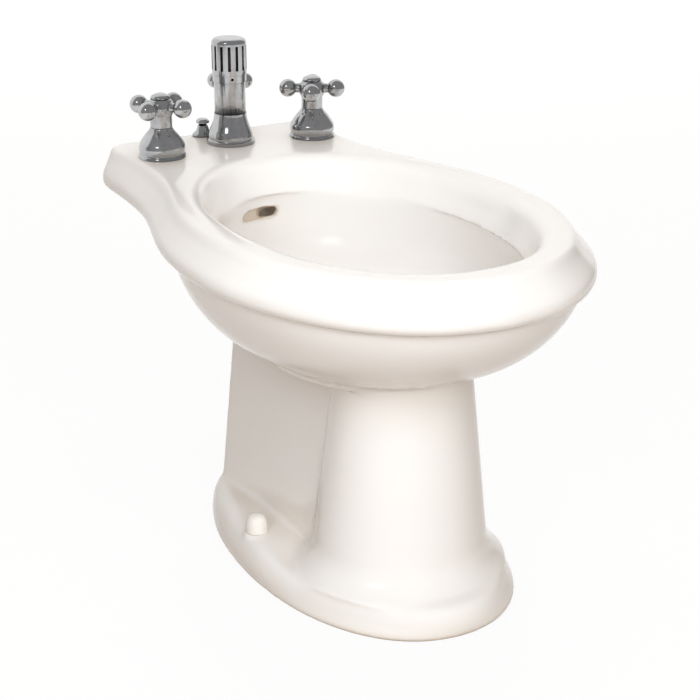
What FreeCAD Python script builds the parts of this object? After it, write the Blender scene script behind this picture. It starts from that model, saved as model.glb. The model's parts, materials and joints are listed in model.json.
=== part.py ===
import FreeCAD, Part
import math
import os

# A floor-standing bidet of glazed china with three deck valves, an anti-siphon column,
# a vertical spray, a flushing rim and a lift-rod drain. Millimetres, +Z up, -Y to the front.
# Places are worked out from the line of the hot and cold valves, over the floor. The finished pieces
# move along Y together, so that the origin lies on the floor under the middle of the china.

V = FreeCAD.Vector
UP = V(0, 0, 1)

# Overall form of the china
RIM_HEIGHT = 381.0
RIM_HALF_WIDTH = 197.0
RIM_FRONT = 534.0
DECK_REAR = 86.0
RIM_DEPTH = 44.0
NOSE_INSET = 26.0
REAR_INSET = 10.0
INSET_TURN_AT = 20.0
RING_STEPS = 16
LOFT_DEGREE = 3
OVERRUN = 6.0
WALL = 12.0
WIDEST_AT = 275.0

# Rim outline, half of it, as shares of the half width and of the front or rear reach
RIM_OUTLINE_SHARES = [
    (0.00, 1.000), (0.27, 1.000), (0.44, 1.000), (0.546, 0.998), (0.608, 0.970), (0.660, 0.888),
    (0.696, 0.765), (0.709, 0.62), (0.716, 0.40), (0.728, 0.02), (0.742, -0.05), (0.762, -0.11),
    (0.802, -0.18), (0.868, -0.26), (0.934, -0.338), (0.981, -0.42), (1.000, -0.515),
    (0.984, -0.62), (0.916, -0.722), (0.790, -0.822), (0.602, -0.910), (0.375, -0.969),
    (0.18, -0.993), (0.00, -1.000)]

# Profile of the rim's outside: share of the rim's depth above its underside, share of the nose's inset
RIM_PROFILE_SHARES = [
    (0.00, 0.26), (0.05, 0.13), (0.14, 0.02), (0.25, 0.00), (0.35, 0.04), (0.44, 0.14), (0.56, 0.34),
    (0.76, 0.66), (0.90, 0.80), (0.97, 0.88), (1.00, 1.00)]

# Opening of the basin at the rim
MOUTH_HALF_WIDTH = 140.0
MOUTH_FRONT = 478.0
MOUTH_REAR = 66.0
MOUTH_POWER = 2.15
MOUTH_EDGE = 12.0
MOUTH_EDGE_DROP = 8.0
LIP_DROP = 37.0
LIP_INSET = 14.0
MOUTH_PROFILE_SHARES = [(0.0, 1.0), (0.22, 0.58), (0.55, 0.24), (1.0, 0.0)]
LIP_PROFILE_SHARES = [(0.0, 0.0), (0.42, 0.36), (0.78, 0.76), (1.0, 1.0)]

# Underside of the bowl: depth under the rim's top; half width, front and rear reach at its top and base
BOWL_DEPTH = 143.0
BOWL_TOP_HALF_WIDTH = 188.0
BOWL_TOP_FRONT = 524.0
BOWL_TOP_REAR = 40.0
BOWL_BASE_HALF_WIDTH = 104.0
BOWL_BASE_FRONT = 404.0
BOWL_BASE_REAR = 100.0
BOWL_FRONT_POWER = 2.05
BOWL_REAR_POWER = 1.8
BOWL_PROFILE_SHARES = [
    (0.00, 0.00), (0.05, 0.07), (0.12, 0.21), (0.30, 0.52), (0.55, 0.775), (0.80, 0.93), (1.06, 1.00)]

# Bead round the lower edge of the bowl
BEAD_HEIGHT = 4.6
BEAD_STAND = 2.2
BEAD_PROFILE_SHARES = [(0.0, -1.0), (0.22, 0.55), (0.55, 1.0), (0.88, 0.55), (1.2, -0.8)]

# Basin inside
FLOOR_THICKNESS = 14.0
BASIN_FLOOR_HALF_WIDTH = 60.0
BASIN_FLOOR_FRONT = 340.0
BASIN_FLOOR_REAR = 128.0
BASIN_STEP = 7.0
BASIN_FRONT_POWER = 2.1
BASIN_REAR_POWER = 1.85
BASIN_PROFILE_SHARES = [
    (0.00, 0.00), (0.03, 0.22), (0.09, 0.44), (0.2, 0.68), (0.36, 0.88), (0.54, 1.01), (0.72, 1.05),
    (0.88, 1.03), (1.00, 1.00)]

# Pedestal: a round front column and a flat-sided rear housing
COLUMN_AT = 346.0
COLUMN_TOP_HALF_WIDTH = 69.5
COLUMN_TOP_HALF_DEPTH = 66.0
COLUMN_FOOT_HALF_WIDTH = 91.0
COLUMN_FOOT_HALF_DEPTH = 87.0
COLUMN_FLARE = 15.0
COLUMN_FLARE_HEIGHT = 20.0
FLARE_SHARES = [(-0.3, 1.35), (0.0, 0.82), (0.3, 0.44), (0.6, 0.18), (0.9, 0.03), (1.2, -0.04)]
HOUSING_OVERLAP = 48.0
HOUSING_TOP_HALF_WIDTH = 60.0
HOUSING_FOOT_HALF_WIDTH = 74.0
HOUSING_TOP_REAR = 105.0
HOUSING_FOOT_REAR = 84.0
HOUSING_CORNER = 9.0

# Foot
FOOT_HALF_WIDTH = 131.0
FOOT_FRONT = 471.0
FOOT_REAR = 93.0
FOOT_SWEEP = 40.0
FOOT_MIDDLE = 270.0
FOOT_HEIGHT = 36.0
FOOT_ROUND = 30.0
FOOT_FRONT_POWER = 2.15
FOOT_REAR_POWER = 2.1
FOOT_WALL = 14.0
FOOT_TOP_WALL = 12.0
FOOT_PROFILE_SHARES = [
    (0.00, 0.09), (0.07, 0.00), (0.25, 0.03), (0.42, 0.24), (0.60, 0.64), (0.77, 1.20), (0.90, 1.78),
    (1.00, 2.40)]
FOOT_HOLLOW_SHARES = [(0.17, 0.0), (0.43, 0.32), (0.67, 0.90), (0.86, 1.50), (1.0, 2.10)]

# Deck and its hollow
DECK_THICKNESS = 14.0
DECK_HOLLOW_HALF_WIDTH = 122.0
DECK_HOLLOW_FRONT = 25.0
DECK_HOLLOW_REAR = 75.0
DECK_HOLLOW_CORNER = 12.0
VALVE_CENTRES = 186.0
SHANK_HOLE_RADIUS = 16.0
SIDE_HOLE_RADIUS = 11.0
ROD_HOLE_RADIUS = 5.0

# Rim channel, its holes and its feed
CHANNEL_OUT = 28.0
CHANNEL_IN = 12.0
CHANNEL_DROP = 19.0
CHANNEL_HEIGHT = 16.0
RIM_HOLES = 12
RIM_HOLE_RADIUS = 2.2
RIM_HOLE_INSET = 10.5
RIM_HOLE_DROP = 1.5
RIM_TUBE_DROP = 31.5
RIM_TUBE_END = 33.0

# Overflow slot and the duct behind the basin
OVERFLOW_WIDTH = 25.0
OVERFLOW_HEIGHT = 10.0
OVERFLOW_DROP = 59.0
DUCT_HALF_WIDTH = 21.0
DUCT_WALL = 7.0
DUCT_BACK = 26.0
THROAT_RISE = 3.0
THROAT_HEIGHT = 6.0
SLOT_REACH = 34.0
# Side view of the duct: share from its back to the foot of the bowl, share of the bowl's height
DUCT_OUTER_SHARES = [
    (0.45, 1.06), (0.00, 1.06), (0.00, 0.80), (0.20, 0.46), (0.45, 0.18), (0.75, 0.00), (1.00, 0.00),
    (1.00, 0.10), (0.70, 0.50)]
DUCT_BORE_SHARES = [
    (0.45, 0.91), (0.10, 0.91), (0.10, 0.77), (0.29, 0.45), (0.54, 0.17), (0.80, 0.05), (0.80, 0.11),
    (0.63, 0.22), (0.45, 0.49)]

# Fits between pieces
SEAT = 0.05
RUN = 0.05
APART = 0.3

# Hold-down set in the foot
BOLT_X = 108.0
BOLT_Y = 238.0
BOLT_RADIUS = 3.2
BOLT_HOLE_RADIUS = 5.5
BOLT_HEAD_RADIUS = 6.0
BOLT_HEAD_HEIGHT = 3.0
BOLT_STAND = 8.0
FLOOR_WASHER_RADIUS = 9.5
FLOOR_WASHER_THICKNESS = 1.6
FLOOR_NUT_RADIUS = 6.2
FLOOR_NUT_HEIGHT = 5.5
PAD_RADIUS = 14.0
PAD_HEIGHT = 38.0
CAP_RADIUS = 11.5
CAP_HEIGHT = 19.0
CAP_WALL = 1.8
CAP_PROFILE_SHARES = [(1.0, 0.0), (0.98, 0.42), (0.89, 0.68), (0.68, 0.88), (0.36, 0.98), (0.0, 1.0)]
CAP_HOLLOW_SHARE = 0.72

# Deck valves
SHANK_RADIUS = 13.0
SHANK_ABOVE = 17.0
VALVE_BODY_RADIUS = 15.0
VALVE_BODY_HEIGHT = 24.0
INLET_RADIUS = 10.4
INLET_LENGTH = 34.0
INLET_BORE = 6.0
STEM_RADIUS = 4.0
STEM_DEPTH = 12.0
BOSS_RADIUS = 8.0
BOSS_REACH = 21.0
SHORT_REACH = 18.0
LINK_RADIUS = 4.8
LINK_WALL = 0.9
LINK_DROP = 58.0
LOCKNUT_RADIUS = 21.0
LOCKNUT_HEIGHT = 9.0
DECK_WASHER_RADIUS = 20.0
DECK_WASHER_THICKNESS = 2.5
BELL_RADIUS = 25.4
BELL_WAIST_RADIUS = 11.8
BELL_HEIGHT = 33.0
BELL_WALL = 2.0
# Profile of a bell: share of its radius, share of its height; a plain edge, then arcs of three points each
BELL_PROFILE_SHARES = [
    (1.00, 0.00), (1.00, 0.09), (0.965, 0.11), (0.95, 0.17), (0.985, 0.32), (0.95, 0.47), (0.80, 0.65),
    (0.63, 0.82), (0.52, 0.92), (0.465, 1.00)]
BALL_PLANE = 55.0
BALL_CIRCLE = 27.0
BALL_RADIUS = 10.0
ARM_RADIUS = 5.0
ARM_ROOT_RADIUS = 6.8
HUB_RADIUS = 14.5
HUB_WAIST_RADIUS = 11.8
HUB_TOP = 9.0
HUB_LOW = 10.0
BUTTON_RADIUS = 10.5
BUTTON_HEIGHT = 5.0
BUTTON_LIP = 1.2
HOT_TURN = 35.0
COLD_TURN = -31.0

# Transfer valve behind the column
TRANSFER_X = 20.5
TRANSFER_Y = 60.5
TRANSFER_SHANK_RADIUS = 9.0
TRANSFER_BELL_RADIUS = 17.5
TRANSFER_BALL_PLANE = 60.0
TRANSFER_BALL_CIRCLE = 17.0
TRANSFER_BALL_RADIUS = 8.8
TRANSFER_ARM_RADIUS = 4.6
TRANSFER_ARM_ROOT_RADIUS = 5.4
TRANSFER_HUB_RADIUS = 11.5
TRANSFER_WAIST_RADIUS = 9.0
TRANSFER_BUTTON_RADIUS = 8.0
TRANSFER_NUT_RADIUS = 12.5
TRANSFER_WASHER_RADIUS = 11.5
TRANSFER_BODY_RADIUS = 12.0
TRANSFER_TURN = -31.0
OUTLET_RADIUS = 5.2
OUTLET_REACH = 18.0
SPRAY_BOSS_RADIUS = 6.5
SPRAY_BOSS_DROP = 8.0
SPRAY_TUBE_X = 36.0
SPRAY_TUBE_BEND = 14.0
SPRAY_TUBE_FALL = 17.0
SPRAY_TUBE_BACK = 60.0

# Anti-siphon column
COLUMN_Y = 20.0
TOWER_HEIGHT = 117.0
TOWER_RADIUS = 17.3
TOWER_BELL_RADIUS = 27.0
TOWER_BELL_HEIGHT = 34.0
TOWER_BELL_PROFILE_SHARES = [
    (1.00, 0.00), (1.00, 0.11), (0.94, 0.13), (0.92, 0.20), (0.90, 0.34), (0.86, 0.46), (0.74, 0.68),
    (0.672, 1.00)]
TOWER_SHANK_RADIUS = 13.0
TOWER_BORE = 11.0
COLLAR_AT = 70.0
COLLAR_HEIGHT = 8.0
COLLAR_RADIUS = 18.6
COLLAR_PORT_RADIUS = 1.6
HOOD_RADIUS = 19.2
HOOD_WALL = 2.4
HOOD_TOP_WALL = 3.6
HOOD_ROUND = 5.0
SLOTS = 14
SLOT_WIDTH = 3.2
SLOT_LOW = 5.0
SLOT_LENGTH = 27.0
COLLAR_BORE = 12.0
PORT_TURN = 17.0
FLOAT_RADIUS = 13.0
FLOAT_HEIGHT = 5.0
FLOAT_STEM_RADIUS = 2.6
FLOAT_STEM_LENGTH = 16.0

# Vertical spray
SPRAY_Y = 292.0
SPRAY_HOLE_RADIUS = 13.0
SPRAY_SHANK_RADIUS = 12.0
SPRAY_FLANGE_RADIUS = 19.0
SPRAY_FLANGE_HEIGHT = 3.0
SPRAY_DOME_RADIUS = 11.0
SPRAY_DOME_HEIGHT = 7.0
SPRAY_JET_RADIUS = 1.1
SPRAY_JETS = 8
SPRAY_JET_CIRCLE = 6.0
SPRAY_DEPTH = 46.0
SPRAY_BOSS_LEVEL = 21.0
SPRAY_BOSS_REACH = 18.0
SPRAY_NUT_RADIUS = 20.0
SPRAY_NUT_HEIGHT = 8.0
SPRAY_GASKET_RADIUS = 19.0
GASKET_THICKNESS = 3.0

# Drain with its lift rod
DRAIN_Y = 196.0
DRAIN_HOLE_RADIUS = 21.5
DRAIN_FLANGE_RADIUS = 29.0
DRAIN_FLANGE_HEIGHT = 2.6
DRAIN_TUBE_RADIUS = 19.0
DRAIN_BORE = 16.0
DRAIN_TUBE_LENGTH = 52.0
DRAIN_NUT_RADIUS = 28.0
DRAIN_NUT_HEIGHT = 10.0
DRAIN_GASKET_RADIUS = 27.0
DRAIN_BODY_RADIUS = 22.0
DRAIN_BODY_LENGTH = 50.0
DRAIN_SOCKET = 14.0
PIVOT_REACH = 30.0
PIVOT_DROP = 66.0
PORT_RADIUS = 9.5
PORT_LENGTH = 32.0
PIVOT_BALL_RADIUS = 6.0
PIVOT_ROD_RADIUS = 2.4
PIVOT_ROD_INNER = 32.0
PIVOT_TAIL = 14.0
PIVOT_CAP_RADIUS = 13.0
PIVOT_CAP_START = 24.0
PIVOT_CAP_LENGTH = 16.5
PIVOT_CAP_WALL = 4.0
PIVOT_CAP_HOLE = 4.4
TAILPIECE_RADIUS = 15.9
TAILPIECE_BORE = 14.6
TAILPIECE_LENGTH = 96.0
TAIL_SHOULDER_RADIUS = 17.0
TAIL_SHOULDER_LENGTH = 9.0
TAIL_NUT_RADIUS = 25.0
TAIL_NUT_HEIGHT = 14.0
STOPPER_RADIUS = 19.0
STOPPER_HEIGHT = 5.0
STOPPER_DOME = 3.0
STOPPER_STEM_RADIUS = 5.6
STOPPER_LIFT = 5.0
STOPPER_GAP = 0.1
STOPPER_EYE_RADIUS = 3.1
STOPPER_STEM_END = 7.0
FIN_REACH = 15.4
FIN_THICKNESS = 1.6
FIN_TOP = 10.0
FIN_HEIGHT = 20.0
FINS = 4
LIFT_X = 14.0
LIFT_Y = 63.0
LIFT_ROD_RADIUS = 2.6
LIFT_ROD_LENGTH = 112.0
KNOB_RADIUS = 7.6
KNOB_HEIGHT = 5.4
KNOB_NECK_RADIUS = 4.4
KNOB_NECK = 1.4
KNOB_SIDE_SHARE = 0.6
KNOB_TOP_SHARE = 0.7
GUIDE_RADIUS = 12.0
GUIDE_TOP_RADIUS = 5.6
GUIDE_EDGE = 1.6
GUIDE_WAIST_SHARE = 0.3
GUIDE_HEIGHT = 12.0
STRAP_WIDTH = 11.0
STRAP_THICKNESS = 1.6
STRAP_HOLES = 5
STRAP_PITCH = 13.0
STRAP_EDGE = 6.0
STRAP_HOLE_RADIUS = 2.8
CLEVIS_SIZE = 11.0
CLEVIS_HEIGHT = 12.0
CLEVIS_AT = 98.0
SCREW_SHANK_RADIUS = 2.0
SCREW_HEAD_RADIUS = 5.0
SCREW_HEAD_LENGTH = 6.0
SCREW_STAND = 1.0

# Heights and places worked out from the sizes above
MIDDLE_SHIFT = V(0, (RIM_FRONT - DECK_REAR) / 2, 0)
DECK = RIM_HEIGHT
RIM_LOW = RIM_HEIGHT - RIM_DEPTH
BOWL_BASE = RIM_HEIGHT - BOWL_DEPTH
BASIN_FLOOR = BOWL_BASE + FLOOR_THICKNESS
THROAT_LOW = BOWL_BASE + THROAT_RISE
HOUSING_TOP = BOWL_BASE + HOUSING_OVERLAP
CHANNEL_HIGH = RIM_HEIGHT - CHANNEL_DROP
CHANNEL_LOW = CHANNEL_HIGH - CHANNEL_HEIGHT
RIM_TUBE_Z = RIM_HEIGHT - RIM_TUBE_DROP
OVERFLOW_AT = RIM_HEIGHT - OVERFLOW_DROP
DECK_UNDER = RIM_HEIGHT - DECK_THICKNESS
VALVE_X = VALVE_CENTRES / 2
LINK_Z = RIM_HEIGHT - LINK_DROP
LIP_Z = RIM_HEIGHT - LIP_DROP
NUT_TOP = DECK_UNDER - DECK_WASHER_THICKNESS
HOT = V(-VALVE_X, 0, DECK)
COLD = V(VALVE_X, 0, DECK)
TOWER = V(0, COLUMN_Y, DECK)
TRANSFER = V(TRANSFER_X, TRANSFER_Y, DECK)
DRAIN = V(0, -DRAIN_Y, BASIN_FLOOR)
SPRAY = V(0, -SPRAY_Y, BASIN_FLOOR)
LIFT = V(-LIFT_X, LIFT_Y, DECK)
DRAIN_LINE = V(-LIFT_X, LIFT_Y + DRAIN_Y, 0).normalize()
PIVOT = V(DRAIN.x, DRAIN.y, BASIN_FLOOR - PIVOT_DROP) + DRAIN_LINE * PIVOT_REACH
PIVOT_SPAN = math.hypot(LIFT_X, LIFT_Y + DRAIN_Y) - PIVOT_REACH
PIVOT_TILT = math.atan(STOPPER_LIFT / 2 / PIVOT_REACH)
ROD_END = PIVOT + DRAIN_LINE * PIVOT_SPAN - UP * (PIVOT_SPAN * math.tan(PIVOT_TILT))


def at(x, y, z):
    return V(x, y, z)


def mix(low, high, share):
    return low + (high - low) * share


def closed_curve(points):
    curve = Part.BSplineCurve()
    curve.interpolate(Points=points, PeriodicFlag=True, Parameters=range(len(points) + 1))
    return curve


def rim_curve():
    right = []
    for across, along in RIM_OUTLINE_SHARES:
        reach = DECK_REAR if along > 0 else RIM_FRONT
        right.append(V(RIM_HALF_WIDTH * across, reach * along, 0))
    left = [V(-p.x, p.y, 0) for p in right[1:-1]]
    return closed_curve(list(reversed(right)) + left)


def inset_ring(curve, share, height):
    points = []
    for place in curve.getKnots()[:-1]:
        spot = curve.value(place)
        along = curve.tangent(place)[0]
        back = max(spot.y + INSET_TURN_AT, 0) / (DECK_REAR + INSET_TURN_AT)
        inset = mix(NOSE_INSET, REAR_INSET, back) * share
        points.append(V(spot.x - along.y * inset, spot.y + along.x * inset, height))
    return Part.Wire(closed_curve(points).toShape())


def egg_ring(half_width, front, rear, middle, height, front_power, rear_power):
    points = []
    for step in range(RING_STEPS):
        turn = 2 * math.pi * step / RING_STEPS - math.pi / 2
        c, s = math.cos(turn), math.sin(turn)
        power = front_power if s < 0 else rear_power
        reach = front - middle if s < 0 else middle - rear
        x = half_width * math.copysign(abs(c) ** (2 / power), c)
        y = reach * math.copysign(abs(s) ** (2 / power), s) - middle
        points.append(V(x, y, height))
    return Part.Wire(closed_curve(points).toShape())


def loft(rings, ruled=False):
    solid = Part.makeLoft(rings, True, ruled, False, LOFT_DEGREE)
    if solid.Volume < 0:
        solid.reverse()
    return solid


def cylinder(radius, height, base, axis=UP):
    return Part.makeCylinder(radius, height, base, axis)


def tube(radius, bore, height, base, axis=UP):
    hole = Part.makeCylinder(bore, height + OVERRUN * 2, base - axis * OVERRUN, axis)
    return Part.makeCylinder(radius, height, base, axis).cut(hole)


def turned(profile, centre):
    points = [V(radius, 0, height) for radius, height in profile]
    face = Part.Face(Part.makePolygon(points + points[:1]))
    solid = face.revolve(V(0, 0, 0), UP, 360)
    solid.translate(centre)
    return solid


def hexagon(radius, bore, height, base):
    corners = []
    for side in range(6):
        turn = math.radians(60 * side)
        corners.append(V(radius * math.cos(turn), radius * math.sin(turn), 0))
    prism = Part.Face(Part.makePolygon(corners + corners[:1])).extrude(V(0, 0, height))
    prism.translate(base)
    return prism.cut(cylinder(bore, height + OVERRUN * 2, base - UP * OVERRUN))


def route_wire(points, radius):
    edges = []
    start = points[0]
    for index in range(1, len(points) - 1):
        corner = points[index]
        back = (points[index - 1] - corner).normalize()
        ahead = (points[index + 1] - corner).normalize()
        half = back.getAngle(ahead) / 2
        trim = radius / math.tan(half)
        first, last = corner + back * trim, corner + ahead * trim
        inward = (back + ahead).normalize()
        middle = corner + inward * (radius / math.sin(half) - radius)
        edges.append(Part.makeLine(start, first))
        edges.append(Part.Arc(first, middle, last).toShape())
        start = last
    edges.append(Part.makeLine(start, points[-1]))
    return Part.Wire(edges)


def pipe(points, bend, radius, wall):
    path = route_wire(points, bend)
    heading = points[1] - points[0]
    skins = []
    for size in (radius, radius - wall):
        ring = Part.Wire(Part.makeCircle(size, points[0], heading))
        skins.append(path.makePipeShell([ring], True, False))
    return skins[0].cut(skins[1])


def rim_body(curve):
    rings = []
    for rise, share in RIM_PROFILE_SHARES:
        rings.append(inset_ring(curve, share, RIM_LOW + RIM_DEPTH * rise))
    return loft(rings, True)


def mouth_ring(grow, height):
    return egg_ring(
        MOUTH_HALF_WIDTH + grow, MOUTH_FRONT + grow, MOUTH_REAR - grow, WIDEST_AT, height,
        MOUTH_POWER, MOUTH_POWER)


def mouth_cut():
    edge_z = RIM_HEIGHT - MOUTH_EDGE_DROP
    rings = []
    for drop, share in MOUTH_PROFILE_SHARES:
        rings.append(mouth_ring(MOUTH_EDGE * share, mix(RIM_HEIGHT, edge_z, drop)))
    for drop, share in LIP_PROFILE_SHARES[1:]:
        rings.append(mouth_ring(-LIP_INSET * share, mix(edge_z, LIP_Z, drop)))
    rings.append(mouth_ring(-LIP_INSET, LIP_Z - BASIN_STEP))
    return loft(rings)


def bowl_body():
    rings = []
    for rise, spread in BOWL_PROFILE_SHARES:
        rings.append(egg_ring(
            mix(BOWL_BASE_HALF_WIDTH, BOWL_TOP_HALF_WIDTH, spread),
            mix(BOWL_BASE_FRONT, BOWL_TOP_FRONT, spread),
            mix(BOWL_BASE_REAR, BOWL_TOP_REAR, spread),
            WIDEST_AT, mix(BOWL_BASE, RIM_LOW, rise), BOWL_FRONT_POWER, BOWL_REAR_POWER))
    return loft(rings)


def bowl_bead():
    rings = []
    for rise, stand in BEAD_PROFILE_SHARES:
        grow = BEAD_STAND * stand
        rings.append(egg_ring(
            BOWL_BASE_HALF_WIDTH + grow, BOWL_BASE_FRONT + grow, BOWL_BASE_REAR - grow, WIDEST_AT,
            BOWL_BASE + BEAD_HEIGHT * (rise - 1), BOWL_FRONT_POWER, BOWL_REAR_POWER))
    return loft(rings, True)


def basin_cut():
    top_grow = BASIN_STEP - LIP_INSET
    rings = []
    for rise, spread in BASIN_PROFILE_SHARES:
        rings.append(egg_ring(
            mix(BASIN_FLOOR_HALF_WIDTH, MOUTH_HALF_WIDTH + top_grow, spread),
            mix(BASIN_FLOOR_FRONT, MOUTH_FRONT + top_grow, spread),
            mix(BASIN_FLOOR_REAR, MOUTH_REAR - top_grow, spread),
            WIDEST_AT, mix(BASIN_FLOOR, LIP_Z, rise), BASIN_FRONT_POWER, BASIN_REAR_POWER))
    return loft(rings)


def column_ring(half_width, half_depth, height):
    return egg_ring(
        half_width, COLUMN_AT + half_depth, COLUMN_AT - half_depth, COLUMN_AT, height, 2, 2)


def column_sized(height, grow):
    rise = (height - FOOT_HEIGHT) / (BOWL_BASE - FOOT_HEIGHT)
    return column_ring(
        mix(COLUMN_FOOT_HALF_WIDTH, COLUMN_TOP_HALF_WIDTH, rise) + grow,
        mix(COLUMN_FOOT_HALF_DEPTH, COLUMN_TOP_HALF_DEPTH, rise) + grow, height)


def column_body(inset, low, high):
    return loft([column_sized(low, -inset), column_sized(high, -inset)], True)


def column_flare():
    rings = []
    for rise, share in FLARE_SHARES:
        rings.append(column_sized(FOOT_HEIGHT + COLUMN_FLARE_HEIGHT * rise, COLUMN_FLARE * share))
    return loft(rings)


def housing_ring(half_width, rear, height, corner):
    front = -COLUMN_AT
    back = -rear
    points = [
        V(half_width, front, height), V(half_width, back - corner, height),
        V(half_width - corner, back, height), V(corner - half_width, back, height),
        V(-half_width, back - corner, height), V(-half_width, front, height)]
    slack = corner * (1 - math.sqrt(0.5))
    right = V(half_width - slack, back - slack, height)
    left = V(slack - half_width, back - slack, height)
    return Part.Wire([
        Part.makeLine(points[0], points[1]), Part.Arc(points[1], right, points[2]).toShape(),
        Part.makeLine(points[2], points[3]), Part.Arc(points[3], left, points[4]).toShape(),
        Part.makeLine(points[4], points[5]), Part.makeLine(points[5], points[0])])


def housing_body(inset, low, high):
    rings = []
    for height in (low, high):
        rise = (height - FOOT_HEIGHT) / (HOUSING_TOP - FOOT_HEIGHT)
        half_width = mix(HOUSING_FOOT_HALF_WIDTH, HOUSING_TOP_HALF_WIDTH, rise) - inset
        rear = mix(HOUSING_FOOT_REAR, HOUSING_TOP_REAR, rise)
        rear = rear - OVERRUN * 3 if inset else rear
        rings.append(housing_ring(half_width, rear, height, HOUSING_CORNER / 2 if inset else HOUSING_CORNER))
    return loft(rings, True)


def foot_ring(inset, height):
    return egg_ring(
        FOOT_HALF_WIDTH - inset, FOOT_FRONT - inset, FOOT_SWEEP + inset, FOOT_MIDDLE, height,
        FOOT_FRONT_POWER, FOOT_REAR_POWER)


def foot_body():
    rings = [foot_ring(FOOT_ROUND * inset, FOOT_HEIGHT * rise) for rise, inset in FOOT_PROFILE_SHARES]
    reach = FOOT_FRONT - FOOT_SWEEP
    keep = Part.makeBox(
        FOOT_HALF_WIDTH * 2 + OVERRUN * 2, reach, FOOT_HEIGHT + OVERRUN * 2,
        at(-FOOT_HALF_WIDTH - OVERRUN, -FOOT_REAR - reach, -OVERRUN))
    return loft(rings, True).common(keep)


def foot_hollow():
    rings = [foot_ring(FOOT_WALL, -OVERRUN)]
    for rise, inset in FOOT_HOLLOW_SHARES:
        rings.append(foot_ring(FOOT_WALL + FOOT_ROUND * inset, (FOOT_HEIGHT - FOOT_TOP_WALL) * rise))
    return loft(rings, True)


def rounded_box(half_width, front, rear, low, high, corner):
    box = Part.makeBox(
        half_width * 2, rear - front, high - low, at(-half_width, front, low))
    upright = [edge for edge in box.Edges if edge.BoundBox.ZLength > (high - low) / 2]
    return box.makeFillet(corner, upright)


def duct_solid(shares, half_width):
    points = []
    for back, rise in shares:
        points.append(V(-half_width, -mix(DUCT_BACK, BOWL_BASE_REAR, back), mix(BOWL_BASE, RIM_LOW, rise)))
    return Part.Face(Part.makePolygon(points + points[:1])).extrude(V(half_width * 2, 0, 0))


def overflow_cuts():
    half = (OVERFLOW_WIDTH - OVERFLOW_HEIGHT) / 2
    start = -MOUTH_REAR - SLOT_REACH / 2
    slot = Part.makeBox(
        half * 2, SLOT_REACH, OVERFLOW_HEIGHT, at(-half, start, OVERFLOW_AT - OVERFLOW_HEIGHT / 2))
    for side in (-half, half):
        slot = slot.fuse(cylinder(OVERFLOW_HEIGHT / 2, SLOT_REACH, at(side, start, OVERFLOW_AT), V(0, 1, 0)))
    bore = duct_solid(DUCT_BORE_SHARES, DUCT_HALF_WIDTH - DUCT_WALL)
    reach = DRAIN_Y - BOWL_BASE_REAR + DUCT_WALL * 3
    throat = Part.makeBox(
        DUCT_HALF_WIDTH, reach, THROAT_HEIGHT, at(-DUCT_HALF_WIDTH / 2, -DRAIN_Y, THROAT_LOW))
    return [slot, bore, throat]


def rim_water_cuts():
    outer = loft([mouth_ring(CHANNEL_OUT, CHANNEL_LOW), mouth_ring(CHANNEL_OUT, CHANNEL_HIGH)], True)
    inner = loft([mouth_ring(CHANNEL_IN, CHANNEL_LOW), mouth_ring(CHANNEL_IN, CHANNEL_HIGH)], True)
    cuts = [outer.cut(inner)]
    low = mouth_ring(-RIM_HOLE_INSET, LIP_Z - RIM_HOLE_DROP).Edges[0].Curve
    high = mouth_ring((CHANNEL_IN + CHANNEL_OUT) / 2, mix(CHANNEL_LOW, CHANNEL_HIGH, 0.5)).Edges[0].Curve
    for hole in range(RIM_HOLES):
        share = (hole + 0.5) / RIM_HOLES
        start = low.value(mix(low.FirstParameter, low.LastParameter, share))
        end = high.value(mix(high.FirstParameter, high.LastParameter, share))
        cuts.append(cylinder(RIM_HOLE_RADIUS, (end - start).Length, start, (end - start).normalize()))
    feed = -MOUTH_REAR + (CHANNEL_IN + CHANNEL_OUT) / 2
    cuts.append(cylinder(
        LINK_RADIUS + SEAT, -feed, at(TRANSFER_X, feed, RIM_TUBE_Z), V(0, 1, 0)))
    return cuts


def deck_cuts():
    cuts = [rounded_box(
        DECK_HOLLOW_HALF_WIDTH, -DECK_HOLLOW_FRONT, DECK_HOLLOW_REAR, RIM_LOW - OVERRUN, DECK_UNDER,
        DECK_HOLLOW_CORNER)]
    holes = [
        (SHANK_HOLE_RADIUS, -VALVE_X, 0), (SHANK_HOLE_RADIUS, VALVE_X, 0),
        (SHANK_HOLE_RADIUS, 0, COLUMN_Y), (SIDE_HOLE_RADIUS, TRANSFER_X, TRANSFER_Y),
        (ROD_HOLE_RADIUS, -LIFT_X, LIFT_Y)]
    for radius, x, y in holes:
        cuts.append(cylinder(radius, DECK_THICKNESS + OVERRUN * 2, at(x, y, DECK_UNDER - OVERRUN)))
    return cuts


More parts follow.
